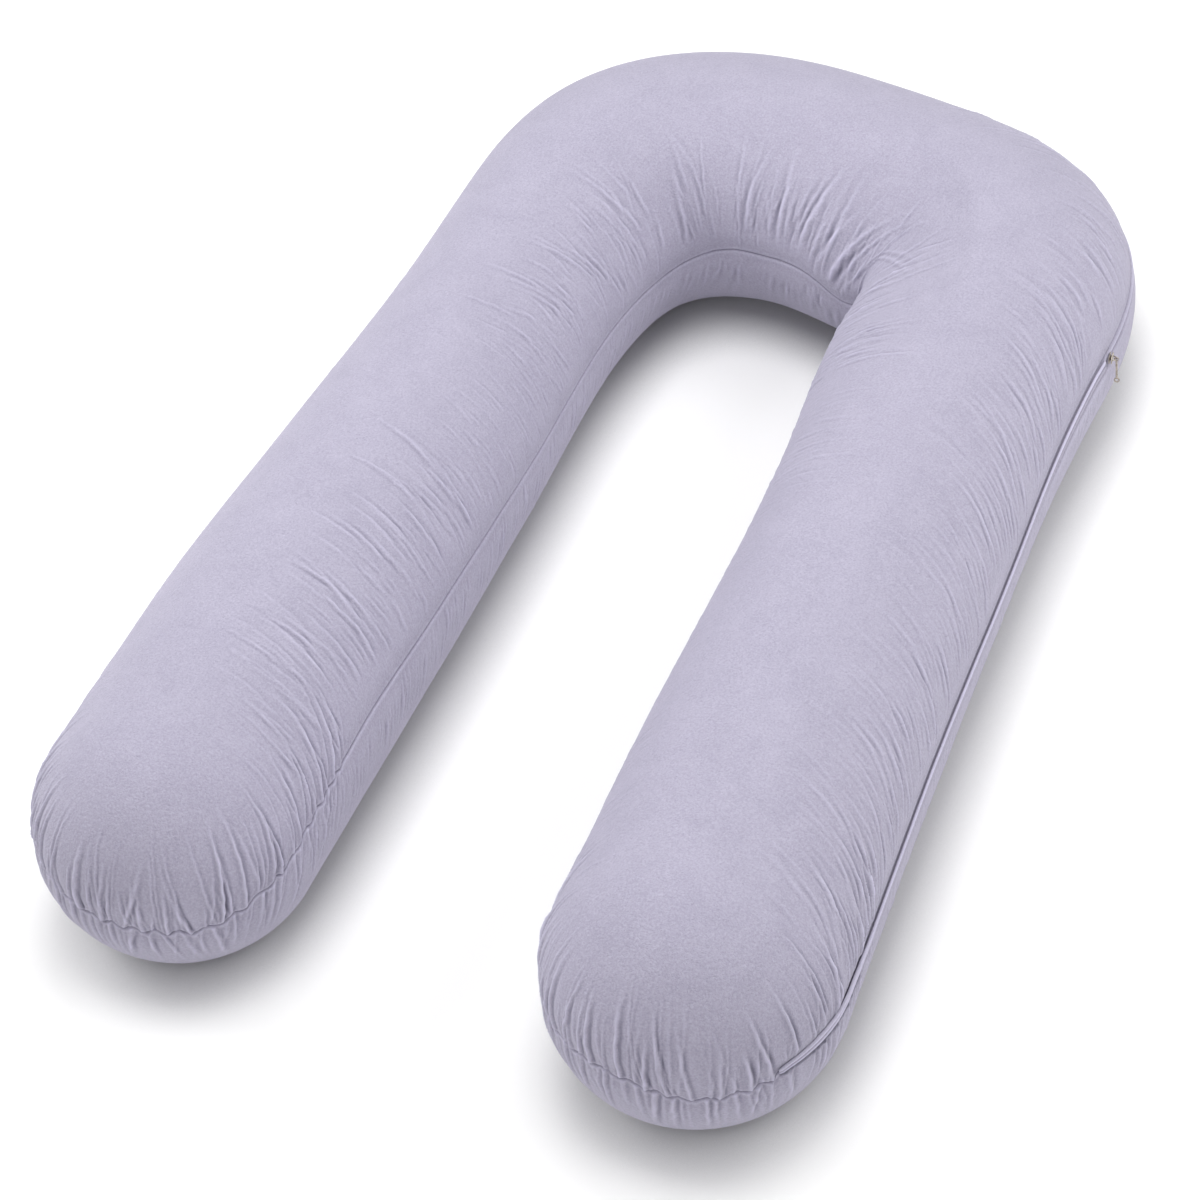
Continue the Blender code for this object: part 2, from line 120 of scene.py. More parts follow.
# Seam: the panels are drawn in to a thin groove between two low welts.
SEAM_DRAW_IN = 0.0026
SEAM_DRAW_WIDTH = 0.014
GROOVE_DEPTHS = (
    # lap, depth (mm): deep where the leg ends are gathered, shallow beside the zip and inside the bend
    (0.0, 3.2), (0.5, 2.4), (0.64, 0.9), (1.2, 0.9), (1.225, 3.2), (2.0, 3.6), (2.2, 1.8), (2.85, 1.8),
    (3.0, 3.6), (4.0, 3.2),
)
GROOVE_WIDTH = 0.0011
WELT_HEIGHT = 0.0004
WELT_WIDTH = 0.0022
WELT_OFFSET = 0.0034

# At the leg's end the seam steps down just past the end of the zip's flap.
JOG = (
    # lap, height (mm)
    (1.222, 0.0), (1.236, -6.5), (1.250, -6.5), (1.330, 0.0),
)
# The skin is pressed in along the flap's lower edge and at the slider, and past the slider a welt goes on
# beside a groove.
SIDE_GROOVES = (
    # distance from the seam (mm), half width (mm), depth (mm), first lap, last lap, laps over which it fades
    (-14.0, 1.5, 1.2, 0.66, 0.96, 0.03),
    (-15.0, 1.8, 3.0, 0.652, 0.705, 0.015),
    (-8.5, 1.7, 3.0, 0.52, 0.635, 0.03),
    (-4.0, 2.2, -1.9, 0.52, 0.635, 0.03),
)

# Flap over the zip: a folded strip with a ridge along each edge and stitches in the valley between them. On
# the leg's end it lies above the seam, and along the leg just below it.
FLAP_LAPS = (0.6478, 1.2222)
FLAP_EASE = 0.012
FLAP_MOVES = (
    # lap, share of the way from its place on the leg's end to that along the leg
    (0.9411, 1.0), (1.0, 0.667), (1.2222, 0.0),
)
FLAP_PROFILE = (
    # on the leg's end: distance from the seam (mm), height (mm), tone (painted shade -1 to painted highlight
    # 1)
    # and then the same three along the leg
    (10.5, 0.0, -0.2, -0.4, 0.0, -0.8),
    (9.6, 0.6, 0.0, -0.5, 0.7, -0.1),
    (8.3, 1.4, 0.3, -0.9, 1.7, 0.8),
    (7.2, 2.0, 0.9, -2.0, 2.4, 1.0),
    (6.2, 2.0, 0.9, -3.4, 2.4, 1.0),
    (5.2, 1.2, 0.0, -4.4, 1.3, 0.2),
    (4.2, 0.7, -0.6, -5.2, 0.2, -1.0),
    (3.2, 1.3, 0.1, -6.6, 0.6, -0.6),
    (2.3, 2.1, 1.0, -8.2, 1.1, -0.1),
    (1.5, 2.2, 1.0, -9.8, 1.3, 0.1),
    (0.8, 1.7, 0.0, -11.2, 1.1, -0.1),
    (0.5, 1.1, -0.8, -12.1, 0.8, -0.4),
    (0.5, 0.0, -1.0, -12.4, 0.0, -1.0),
)
# Laps between which the tones along the leg give way to those on its end.
FLAP_TONE_TURNS = (0.95, 0.985)
# Row of the profile in the valley, and every how many rows the strip's underside has a point.
FLAP_VALLEY = 6
FLAP_BACK_STEP = 3
# Gap between the strip and the cover, and over how many columns it bridges what is uneven.
FLAP_CLEAR = 0.0003
FLAP_BRIDGE = 6
# Both of its ends are rounded, and on the leg's end it also narrows.
FLAP_TIP = 0.004
FLAP_POINT = 0.05
FLAP_POINT_SHARE = 0.6
# The creases of the cover are pressed flat under it.
FLAP_FLATTENS = 0.85
FLAP_FLAT_REACH = 0.010
# Under its free edge on the leg's end the flap leaves a gap, where the cloth is painted dark as a painted
# shadow.
GAP = (
    # lap, how far down it reaches (mm from the seam), strength
    (0.965, -14.5, 0.0), (0.985, -14.5, 1.0), (1.0, -13.8, 1.0), (1.05, -10.8, 1.0), (1.1, -9.4, 1.0),
    (1.15, -7.2, 1.0), (1.217, -6.4, 1.0), (1.222, -6.4, 0.0),
)
GAP_SOFT = 0.0015

# Stitches in the flap's valley. Real thread is about 0.35 mm thick, which is too fine to show, so it is drawn
# thicker.
STITCH_PITCH = 0.0034
STITCH_LENGTH = 0.0025
THREAD_THICK = 0.0006
THREAD_TWIST = 0.0006
THREAD_PROUD = 0.3

# Gathers at the ends of the legs: the seam dips at each one and rises between two.
GATHER_SPACING = 0.0265
GATHER_UNEVEN = 0.38
GATHER_EASE = 0.07
SEAM_WAVE = 0.0036
SEAM_WAVE_WIDTH = 0.012
SEAM_WAVE_SHARES = (0.45, 1.0)
# Away from the very tip the puckers lean back up the leg.
TIP_SHARE = 0.2
TIP_LEAN = 1.0
PUCKER_SPREAD = 0.45
PUCKER_STRAYS = 0.002
PUCKER_LEAN_VARIES = 0.13
PUCKER_BOW = 0.3
PUCKER_RISE = 0.05
PUCKERS = (
    # how many, where in the gather, start (mm from the seam), length from and to, width from and to,
    # height from and to, above (1) or below (-1) the seam
    (1, 0.0, 0.0, 50, 120, 1.6, 2.5, 1.8, 3.4, 1),
    (1, 0.5, 0.0, 30, 100, 1.3, 2.0, 0.8, 2.4, 1),
    (3, 0.25, 0.9, 40, 140, 1.1, 1.6, 0.5, 1.5, 1),
    (1, 0.5, 0.0, 35, 80, 1.8, 2.8, 1.0, 2.2, -1),
    (3, 0.0, 0.9, 30, 80, 1.3, 2.0, 0.4, 1.4, -1),
)
GATHER_ENDS = (
    # first lap and last lap where they are full, laps over which they fade
    (0.975, 1.99, 0.030),
    (2.985, 4.0, 0.030),
)

# Fields of small creases, which run across the seam's way. Widths and heights are those of a crease's ridge.
# Lean is how far its head stands along the seam for each metre of its length, and bow how much of that comes
# early.
CREASE_FIELDS = (
    # where, first lap, last lap, creases a metre, start from and to (mm from the seam), length from and to,
    # width from and to, height from and to, lean, bow
    ("left leg inside", 2.62, 3.0, 260, 4, 95, 20, 80, 1.1, 1.8, 0.3, 0.9, -0.25, 0.3),
    ("left leg inside, strong", 2.82, 2.97, 190, 18, 110, 50, 120, 1.4, 2.2, 0.6, 1.5, -0.25, 0.3),
    ("left of the bend", 2.56, 2.74, 190, 10, 110, 35, 110, 1.2, 2.0, 0.4, 1.2, 0.0, -0.3),
    ("inside the bend", 2.40, 2.60, 360, 3, 62, 35, 120, 1.2, 1.9, 0.3, 1.2, 0.0, -0.3),
    ("right corner", 2.30, 2.42, 330, 12, 110, 35, 110, 1.2, 2.0, 0.5, 1.4, 0.0, -0.3),
    ("below the right corner", 2.21, 2.32, 300, 8, 100, 35, 110, 1.2, 2.0, 0.2, 0.5, 0.0, -0.3),
    ("right leg inside", 2.0, 2.24, 130, 5, 70, 25, 70, 1.3, 2.0, 0.2, 0.5, 0.3, 0.3),
    ("right leg outside", 0.66, 1.0, 270, 5, 55, 40, 100, 1.4, 2.2, 0.4, 1.2, -0.65, 0.6),
    ("right leg outside, upper", 0.62, 1.0, 170, 45, 110, 40, 90, 1.6, 2.4, 0.15, 0.5, -0.45, 0.3),
    ("right shoulder", 0.55, 0.68, 190, 6, 70, 30, 90, 1.4, 2.2, 0.3, 1.2, -0.65, 0.6),
    ("round the bend", 0.30, 0.55, 30, 10, 60, 20, 60, 1.5, 2.4, 0.1, 0.3, 0.0, 0.0),
    ("left leg outside", 0.0, 0.32, 60, 8, 60, 25, 60, 1.3, 2.0, 0.1, 0.4, 0.3, 0.3),
)
LOWER_FIELDS = (
    # the same, below the seam
    ("left leg inside, below", 2.62, 3.0, 240, 3, 30, 20, 70, 1.2, 2.0, 0.3, 0.9, 0.4, 0.0),
    ("bend, below", 2.38, 2.60, 190, 4, 30, 20, 70, 1.6, 3.0, 0.3, 1.0, 0.2, 0.0),
    ("right leg outside, below", 0.62, 1.0, 130, 16, 34, 20, 50, 1.4, 2.3, 0.25, 0.8, 0.4, 0.0),
    ("hidden legs, below", 2.0, 2.38, 80, 4, 30, 20, 50, 1.5, 2.4, 0.25, 0.8, 0.0, 0.0),
    ("left leg outside, below", 0.0, 0.5, 90, 4, 30, 20, 50, 1.5, 2.4, 0.25, 0.8, 0.0, 0.0),
)
# The strongest folds of the bend, each with its own place.
BEND_FOLDS = (
    # foot and head along the middle line (m), foot and head from the seam (mm), width (mm), height (mm),
    # side of its hollow
    (1.012, 1.033, 18, 115, 2.0, 1.10, -1),
    (0.954, 0.972, 30, 92, 2.0, 0.80, -1),
    (0.895, 0.908, 22, 95, 2.2, 0.80, -1),
    (1.100, 1.095, 14, 70, 1.9, 0.70, -1),
    (1.213, 1.222, 20, 130, 2.8, 1.30, -1),
    (1.226, 1.212, 26, 90, 2.2, 0.80, 1),
    (1.265, 1.243, 30, 80, 2.2, 0.80, -1),
    (1.288, 1.262, 12, 142, 3.0, 1.60, -1),
    (1.300, 1.285, 30, 110, 2.4, 0.90, 1),
    (1.328, 1.341, 18, 142, 3.2, 2.10, -1),
    (1.318, 1.328, 12, 135, 2.8, 1.20, -1),
    (1.364, 1.395, 18, 120, 2.6, 1.10, -1),
    (1.374, 1.368, 45, 155, 2.4, 1.00, -1),
    (1.384, 1.452, 10, 130, 3.4, 2.20, 1),
    (1.392, 1.470, 24, 120, 2.4, 0.90, 1),
    (1.403, 1.545, 16, 150, 2.6, 0.80, 1),
    (1.414, 1.600, 12, 140, 2.6, 0.70, 1),
    (1.430, 1.640, 30, 150, 2.6, 0.60, 1),
)
FOLD_STRENGTH = 1.5
FOLD_BOW = -0.35
# Every crease is a ridge with a hollow beside it, given as shares of the ridge's height and width. It rises
# over a share of its length, fades over another and wobbles a little on the way.
HOLLOW_SHARE = 0.55
HOLLOW_OFFSET = 1.8
HOLLOW_WIDTH = 1.5
RISE_SHARE = 0.22
FADE_SHARE = 0.7
LEAN_VARIES = 0.07
WOBBLE = 0.0006
WOBBLE_WAVES = (260, 97)
WOBBLE_STARTS = (0, 6.3)
# The strip of the net on which a crease is worked out, from its slant, its width and some more on each side.
STRIP_WIDTHS = 6
STRIP_MORE = 0.012
STRIP_SIDES = 2.5
# How much wider or narrower than at the seam the net's columns may count towards the crown.
SPREAD_LIMITS = (0.05, 4)
CREASE_SEED = 11

# Painted light on the velvet: a ridge is painted paler (painted highlight), a hollow darker (painted shade).
# How far the skin stands over its surroundings is measured against the net smoothed over a few columns and
# rows.
TONE_COLUMNS = 4.0
TONE_ROWS = 2.5
TONE_HEIGHT = 0.0023
BELL_REACH = 2.5

# Unevenness of the filling, as noise of a given size and height. It fades towards the flat underside.
LUMPS = (
    # size (m), height (m)
    (0.21, 0.0018),
    (0.075, 0.0004),
)
LUMPS_FADE = 0.05

# Nap of the velvet, as bumps of a given size and height. Real tufts are about 0.5 mm apart and the fibres are
# much finer, which is too fine to show, so both are drawn coarser.
NAP = (
    # what, size (m), detail, twist, height (m)
    ("way the pile lies", 0.0065, 2.0, 1.8, 0.00022),
    ("tufts", 0.0030, 2.0, 0.8, 0.00016),
    ("fibres", 0.0011, 1.0, 0.0, 0.00014),
)
PATCH_SIZE = 0.045
PATCH_SHARE = 0.3
FIBRE_SIZE = 0.0022

# Nickel: the patches of its tarnish, and how deep a corner has to be to stay dull when it is tumbled.
TARNISH_SIZE = 0.0022
TUMBLED_REACH = 0.0025

# Camera, from the photograph's outline and seam.
CAMERA_AZIMUTH = 29.2489
CAMERA_ELEVATION = 44.8674
CAMERA_ROLL = -8.4224
CAMERA_DISTANCE = 3.9863
CAMERA_TARGET = (-0.0109, -0.1116, 0.0966)
CAMERA_LENS = 115.345
SENSOR_WIDTH = 36.0

# Studio light, from how bright the cloth is in the photograph by the way it faces: a lit room and large soft
# boxes round the pillow.
ROOM_LIGHT = 0.27
SOFT_BOX_SIZE = 1.6
SOFT_BOXES = (
    # which, place (m), watts
    ("overhead", (0.0, 0.0, 2.4), 33.5),
    ("left", (-2.2, 0.0, 1.3), 36.0),
    ("front", (0.3, -2.2, 1.5), 15.5),
    ("back right", (1.5, 1.5, 1.6), 23.4),
    ("back", (-0.3, 1.3, 2.0), 5.4),
    ("right", (2.2, 0.0, 1.3), 14.0),
)

# Floor, and how far from the pillow a painted shadow still darkens its white.
FLOOR_SIZE = 40
SHADE_REACH = 0.1


def linear(hex_colour):
    """Linear RGBA of an sRGB colour given as six hex digits."""
    parts = [int(hex_colour[i:i + 2], 16) / 255 for i in (0, 2, 4)]
    return (*[c / 12.92 if c <= 0.04045 else ((c + 0.055) / 1.055) ** 2.4 for c in parts], 1.0)


def add_node(tree, kind, settings=None, **links):
    """New node with its settings; a link goes from a socket, or a plain value is set on the input."""
    node = tree.nodes.new(kind)
    for name, value in (settings or {}).items():
        setattr(node, name, value)
    for name, value in links.items():
        socket = node.inputs[int(name[1:])] if name[1:].isdigit() else node.inputs[name.replace("_", " ")]
        if isinstance(value, bpy.types.NodeSocket):
            tree.links.new(value, socket)
        else:
            socket.default_value = value
    return node


def start_material(name):
    """New material with its node tree and shader."""
    material = bpy.data.materials.new(name)
    material.use_nodes = True
    tree = material.node_tree
    return material, tree, tree.nodes["Principled BSDF"]


def add_object(name, data):
    """New object in the scene."""
    piece = bpy.data.objects.new(name, data)
    bpy.context.scene.collection.objects.link(piece)
    return piece


# Form of the pillow ----------------------------------------------------------


def natural_spline(knots, values):
    """Smooth curve through the values at the knots, as a function that gives its value and slope."""
    gaps = np.diff(knots)
    rises = np.diff(values) / gaps
    last = len(knots) - 1
    system = np.eye(last + 1)
    right_side = np.zeros(last + 1)
    for i in range(1, last):
        system[i, i - 1:i + 2] = gaps[i - 1], 2 * (gaps[i - 1] + gaps[i]), gaps[i]
        right_side[i] = 6 * (rises[i] - rises[i - 1])
    bends = np.linalg.solve(system, right_side)

    def curve(distance):
        i = np.clip(np.searchsorted(knots, distance) - 1, 0, last - 1)
        gap = gaps[i]
        near = (knots[i + 1] - distance) / gap
        far = 1 - near
        sag = (near ** 3 - near) * bends[i] + (far ** 3 - far) * bends[i + 1]
        value = near * values[i] + far * values[i + 1] + sag * gap ** 2 / 6
        turn = (3 * far ** 2 - 1) * bends[i + 1] - (3 * near ** 2 - 1) * bends[i]
        return value, rises[i] + turn * gap / 6

    return curve


def section_knots():
    """Distance along the table's points from the left tip to each section."""
    points = np.array([row[1:3] for row in SECTIONS]) / 1000
    steps = np.hypot(*np.diff(points, axis=0).T)
    return np.concatenate(([0.0], np.cumsum(steps)))


KNOTS = section_knots()
CURVES = [natural_spline(KNOTS, np.array([row[i] for row in SECTIONS]) / 1000) for i in range(1, 5)]
SEAM_CURVE = natural_spline(*np.array(SEAM_WANDERS).T)


def distance_of(where):
    """Distance of a named section from the left tip."""
    names = [row[0] for row in SECTIONS]
    return KNOTS[names.index(where)]


def tube_sections(distances):
    """Middles of the tube, directions towards its outer side, and inner and outer reaches."""
    (x, slope_x), (y, slope_y), (inner, _), (outer, _) = [curve(distances) for curve in CURVES]
    outward = np.stack((-slope_y, slope_x), axis=-1)
    outward /= np.linalg.norm(outward, axis=-1, keepdims=True)
    return np.stack((x, y), axis=-1), outward, inner, outer


def tube_height(inner, outer):
    """Height of the tube where it reaches this far to both sides: a wider part is a little higher."""
    return TYPICAL_HEIGHT * ((inner + outer) / 2 / TYPICAL_REACH) ** HEIGHT_FOLLOWS


def net_distances():
    """Where the net's cross sections lie along the middle line."""
    start, end = distance_of("left bend"), distance_of("right bend")
    left = np.linspace(0, start, round(start / LEG_COLUMN_STEP) + 1)
    bend = np.linspace(start, end, round((end - start) / BEND_COLUMN_STEP) + 1)
    right = np.linspace(end, KNOTS[-1], round((KNOTS[-1] - end) / LEG_COLUMN_STEP) + 1)
    return np.concatenate((left[:-1], bend, right[1:]))


class Columns:
    """The net's columns in order round the seam: where each stands and what it follows there."""

    def __init__(self):
        distances = net_distances()
        middle, outward, inner, outer = tube_sections(distances)
        height = tube_height(inner, outer)
        last = len(distances) - 1
        turns = np.arange(1, END_COLUMNS) / END_COLUMNS
        sides = np.arange(last + 1)
        parts = (
            # section of each column, share of the way from the outer side to the inner one, lap of the seam
            (sides, np.zeros(last + 1), distances / KNOTS[-1]),
            (np.full(END_COLUMNS - 1, last), turns, 1 + turns),
            (sides[::-1], np.ones(last + 1), 3 - distances[::-1] / KNOTS[-1]),
            (np.zeros(END_COLUMNS - 1, int), 1 - turns, 3 + turns),
        )
        self.section, inside, self.lap = [np.concatenate(part) for part in zip(*parts)]
        self.middle = middle[self.section]
        out = outward[self.section]
        ahead = np.stack((out[:, 1], -out[:, 0]), axis=-1)
        ahead *= np.where(ahead[:, 1:] < 0, 1, -1)
        turn = (np.pi * inside)[:, None]
        self.direction = out * np.cos(turn) + ahead * np.sin(turn)
        reach_out, reach_in = outer[self.section], inner[self.section]
        corner = np.exp(-((self.lap - CORNER_LAP) / CORNER_WIDTH) ** 2)
        self.reach = reach_out + (reach_in - reach_out) * inside + CORNER_FILL * corner
        self.slope = 1 + CORNER_SLOPE * corner
        self.height = height[self.section]
        self.tilt = SEAM_CURVE(self.lap)[0]
        self.sections = last + 1


def half_profile(columns, upwards):
    """Reach and height of the skin from the seam to the crown (or to the base), for every column."""
    share = np.linspace(0, 1, PROFILE_SAMPLES)[None, :]
    tilt = columns.tilt[:, None]
    angle = tilt + (90 - tilt) * share if upwards else tilt - (90 + tilt) * share
    turn = np.radians(angle)
    height = columns.height[:, None]
    level = height * SEAM_LEVEL
    above = angle >= 0
    power = np.where(above, 2 / UPPER_SQUARE, 2 / LOWER_SQUARE)
    slope = np.where(above, columns.slope[:, None], 1)
    reach = columns.reach[:, None] * np.abs(np.cos(turn)) ** (power * slope)
    rise = np.sign(turn) * np.abs(np.sin(turn)) ** power
    z = level + rise * np.where(above, height - level, level + SETTLED)
    z = (z + np.sqrt(z * z + UNDERSIDE_ROUND ** 2)) / 2
    return reach, z


def row_shares(rows, steps):
    """Shares of the way from the seam at which the rows lie."""
    places, sizes = np.array(steps).T
    following = np.exp(np.interp(np.arange(1, rows + 1) / rows, places, np.log(sizes)))
    return np.cumsum(following) / following.sum()


def follow_profile(reach, z, shares):
    """Points at shares of each column's length, and their distance from the seam."""
    steps = np.hypot(np.diff(reach, axis=1), np.diff(z, axis=1))
    lengths = np.concatenate((np.zeros((len(reach), 1)), np.cumsum(steps, axis=1)), axis=1)
    wanted = lengths[:, -1:] * shares[None, :]
    reach_at = np.array([np.interp(w, l, r) for w, l, r in zip(wanted, lengths, reach)])
    z_at = np.array([np.interp(w, l, h) for w, l, h in zip(wanted, lengths, z)])
    return reach_at, z_at, wanted


def pillow_net(columns):
    """Points of the net from the crown down to the base, and their distance from the seam."""
    up_reach, up_z, up_far = follow_profile(*half_profile(columns, True), row_shares(ROWS_ABOVE, STEPS_ABOVE))
    low_reach, low_z, low_far = follow_profile(
        *half_profile(columns, False), np.concatenate(([0], row_shares(ROWS_BELOW, STEPS_BELOW))),
    )
    reach = np.concatenate((up_reach[:, ::-1], low_reach), axis=1)
    z = np.concatenate((up_z[:, ::-1], low_z), axis=1)
    far = np.concatenate((up_far[:, ::-1], -low_far), axis=1)
    flat = columns.middle[:, None, :] + columns.direction[:, None, :] * reach[:, :, None]
    return np.concatenate((flat, z[:, :, None]), axis=2), far


def net_normals(points):
    """Directions square to the net, pointing out of the pillow."""
    along = np.roll(points, -1, axis=0) - np.roll(points, 1, axis=0)
    down = np.gradient(points, axis=1)
    normals = np.cross(along, down)
    normals /= np.maximum(np.linalg.norm(normals, axis=2, keepdims=True), 1e-12)
    seam = ROWS_ABOVE
    outward = points[:, seam] - points.mean(axis=1)
    flip = np.sign((normals[:, seam] * outward).sum(axis=1))
    return normals * flip[:, None, None]


def seam_push(lap, far):
    """Height of the skin over the plain form beside the seam."""
    draw = -SEAM_DRAW_IN * np.exp(-(far / SEAM_DRAW_WIDTH) ** 2)
    depth = np.interp(lap, *zip(*GROOVE_DEPTHS))[:, None] / 1000
    groove = -depth * np.exp(-(far / GROOVE_WIDTH) ** 2)
    welt = WELT_HEIGHT * np.exp(-((np.abs(far) - WELT_OFFSET) / WELT_WIDTH) ** 2)
    return draw + groove + welt


def flap_share(lap):
    """Share of the way from the flap's place on the leg's end to its place along the leg."""
    step = np.interp(lap, *zip(*FLAP_MOVES))
    return step * step * (3 - 2 * step)


def flap_section(lap):
    """Distances from the seam, heights and tones across the flap, for each lap."""
    end_far, end_height, end_tone, leg_far, leg_height, leg_tone = np.array(FLAP_PROFILE).T
    share = flap_share(lap)[:, None]
    places = (end_far + (leg_far - end_far) * share) / 1000
    heights = (end_height + (leg_height - end_height) * share) / 1000
    along = np.interp(lap, FLAP_TONE_TURNS, (1, 0))[:, None]
    return places, heights, end_tone + (leg_tone - end_tone) * along


def window(values, first, last, fade):
    """1 between the first and the last value, falling to 0 over the fade on both sides."""
    rise = np.clip((values - first) / fade + 1, 0, 1)
    fall = np.clip((last - values) / fade + 1, 0, 1)
    share = np.minimum(rise, fall)
    return share * share * (3 - 2 * share)


def flap_ground(lap, far):
    """1 where the flap lies on the cover, which is flatter there, and 0 away from it."""
    places, _, _ = flap_section(lap)
    middle = places.mean(axis=1)[:, None]
    return window(lap, *FLAP_LAPS, FLAP_EASE)[:, None] * np.exp(-((far - middle) / FLAP_FLAT_REACH) ** 4)


def side_push(lap, far):
    """Grooves and welt beside the zip."""
    push = np.zeros(far.shape)
    for place, width, depth, first, last, fade in SIDE_GROOVES:
        groove = np.exp(-((far * 1000 - place) / width) ** 2)
        push -= depth / 1000 * groove * window(lap, first, last, fade)[:, None]
    return push


class Skin:
    """The net as cloth: where its columns stand along the seam and how far they spread at each row."""

    def __init__(self, points, far, columns):
        seam = points[:, ROWS_ABOVE]
        steps = np.linalg.norm(np.roll(seam, -1, axis=0) - seam, axis=1)
        self.along = np.concatenate(([0], np.cumsum(steps)[:-1]))
        self.length = steps.sum()
        gaps = np.linalg.norm(np.roll(points, -1, axis=0) - np.roll(points, 1, axis=0), axis=2)
        self.spread = np.clip(gaps / gaps[:, ROWS_ABOVE:ROWS_ABOVE + 1], *SPREAD_LIMITS)
        self.far = far
        self.lap = columns.lap
        self.push = np.zeros(far.shape)

    def place_of(self, lap):
        """Distance along the seam of a lap."""
        return np.interp(lap, self.lap, self.along)

    def add_crease(self, foot, head, low, high, width, height, hollow, wobble, bow, rise=RISE_SHARE):
        """Ridge from its foot near the seam to its head, with a hollow beside it, fading at both ends."""
        middle = (foot + head) / 2
        strip = abs(head - foot) + STRIP_WIDTHS * width + STRIP_MORE
        beside = (self.along - middle + self.length / 2) % self.length - self.length / 2
        picked = np.abs(beside) < strip * STRIP_SIDES
        far = self.far[picked]
        rows = ((far > min(low, high)) & (far < max(low, high))).any(axis=0)
        if not rows.any():
            return
        far = far[:, rows]
        share = (far - low) / (high - low)
        bent = share + bow * share * (1 - share)
        line = foot - middle + (head - foot) * bent
        offset = (beside[picked][:, None] - line) * self.spread[picked][:, rows]
        quick, slow = WOBBLE_WAVES
        offset += WOBBLE * np.sin(far * quick + wobble) * np.sin(far * slow + 2 * wobble)
        across = offset / width
        ridge = np.exp(-across ** 2)
        trough = np.exp(-((across - hollow * HOLLOW_OFFSET) / HOLLOW_WIDTH) ** 2)
        start = np.clip(share / rise, 0, 1)
        finish = np.clip((1 - share) / FADE_SHARE, 0, 1)
        fade = start * start * (3 - 2 * start) * finish * finish * (3 - 2 * finish)
        block = np.ix_(picked, rows)
        self.push[block] += height * fade * (ridge - HOLLOW_SHARE * trough)


def scatter_creases(skin, rng, fields, way):
    """Fields of creases above the seam (way 1) or below it (way -1)."""
    for _, first, last, density, *ranges, lean, bow in fields:
        starts, lengths, widths, heights = np.reshape(ranges, (4, 2))
        begin, end = skin.place_of(first), skin.place_of(last)
        for _ in range(int((end - begin) * density)):
            foot = rng.uniform(begin, end)
            low = rng.uniform(*starts) / 1000
            high = low + rng.uniform(*lengths) / 1000
            head = foot + (lean + rng.normal(0, LEAN_VARIES)) * (high - low)
            width = rng.uniform(*widths) / 1000
            height = rng.uniform(*heights) / 1000
            side = rng.choice((-1, 1))
            wobble = rng.uniform(*WOBBLE_STARTS)
            skin.add_crease(foot, head, way * low, way * high, width, height, side, wobble, bow)


def gather_ends(skin, rng):
    """Gathers of the leg ends: puckers above and below the seam, and the wave of the seam itself."""
    wave = np.zeros(len(skin.along))
    for first, last, fade in GATHER_ENDS:
        begin, end = skin.place_of(first - fade), skin.place_of(min(last + fade, 4.0))
        if last + fade > 4.0:
            end = skin.length + skin.place_of(last + fade - 4.0)
        places = [begin]
        while places[-1] < end:
            places.append(places[-1] + GATHER_SPACING * (1 + rng.uniform(-GATHER_UNEVEN, GATHER_UNEVEN)))
        places = np.array(places)
        ease = (places[-1] - places[0]) * GATHER_EASE
        middle, half = (begin + end) / 2, (end - begin) / 2
        for place in places:
            full = np.clip(min(place - begin, end - place) / ease, 0, 1)
            for count, spread, start, *ranges, way in PUCKERS:
                lengths, widths, puckers = np.reshape(ranges, (3, 2))
                for _ in range(count):
                    beside = rng.uniform(-PUCKER_SPREAD, PUCKER_SPREAD) * (count > 1)
                    foot = place + (spread + beside) * GATHER_SPACING
                    foot += rng.normal(0, PUCKER_STRAYS)
                    high = rng.uniform(*lengths) / 1000
                    past = abs(foot - middle) / half - TIP_SHARE
                    lean = np.sign(foot - middle) * TIP_LEAN * np.clip(past, 0, 1) * way
                    head = foot + (lean + rng.normal(0, PUCKER_LEAN_VARIES)) * high
                    width = rng.uniform(*widths) / 1000
                    height = full * rng.uniform(*puckers) / 1000
                    wobble = rng.uniform(*WOBBLE_STARTS)
                    skin.add_crease(
                        foot, head, way * start / 1000, way * high, width, height, -1, wobble,
                        PUCKER_BOW, PUCKER_RISE,
                    )
        along = np.where(skin.along < begin - 1e-9, skin.along + skin.length, skin.along)
        phase = np.interp(along, places, np.arange(len(places)), left=0, right=len(places) - 1)
        heights = np.interp(along, places, rng.uniform(*SEAM_WAVE_SHARES, len(places)))
        full = np.clip(np.minimum(along - places[0], places[-1] - along) / ease, 0, 1)
        wave -= SEAM_WAVE * heights * full * np.cos(math.tau * phase) * (along <= places[-1])
    return wave


def fold_bend(skin, rng):
    """The strongest folds inside the bend."""
    for foot, head, low, high, width, height, hollow in BEND_FOLDS:
        skin.add_crease(
            skin.place_of(3 - foot / KNOTS[-1]), skin.place_of(3 - head / KNOTS[-1]), low / 1000, high / 1000,
            width / 1000, FOLD_STRENGTH * height / 1000, -hollow, rng.uniform(*WOBBLE_STARTS), FOLD_BOW,
        )


def lump_push(points):
    """Unevenness of the filling, nowhere at the underside."""
    flat = points.reshape(-1, 3)
    push = np.zeros(len(flat))
    for size, height in LUMPS:
        push += height * np.array([noise.noise(Vector(point) / size) for point in flat])
    lifted = np.clip(flat[:, 2] / LUMPS_FADE, 0, 1)
    return (push * lifted).reshape(points.shape[:2])


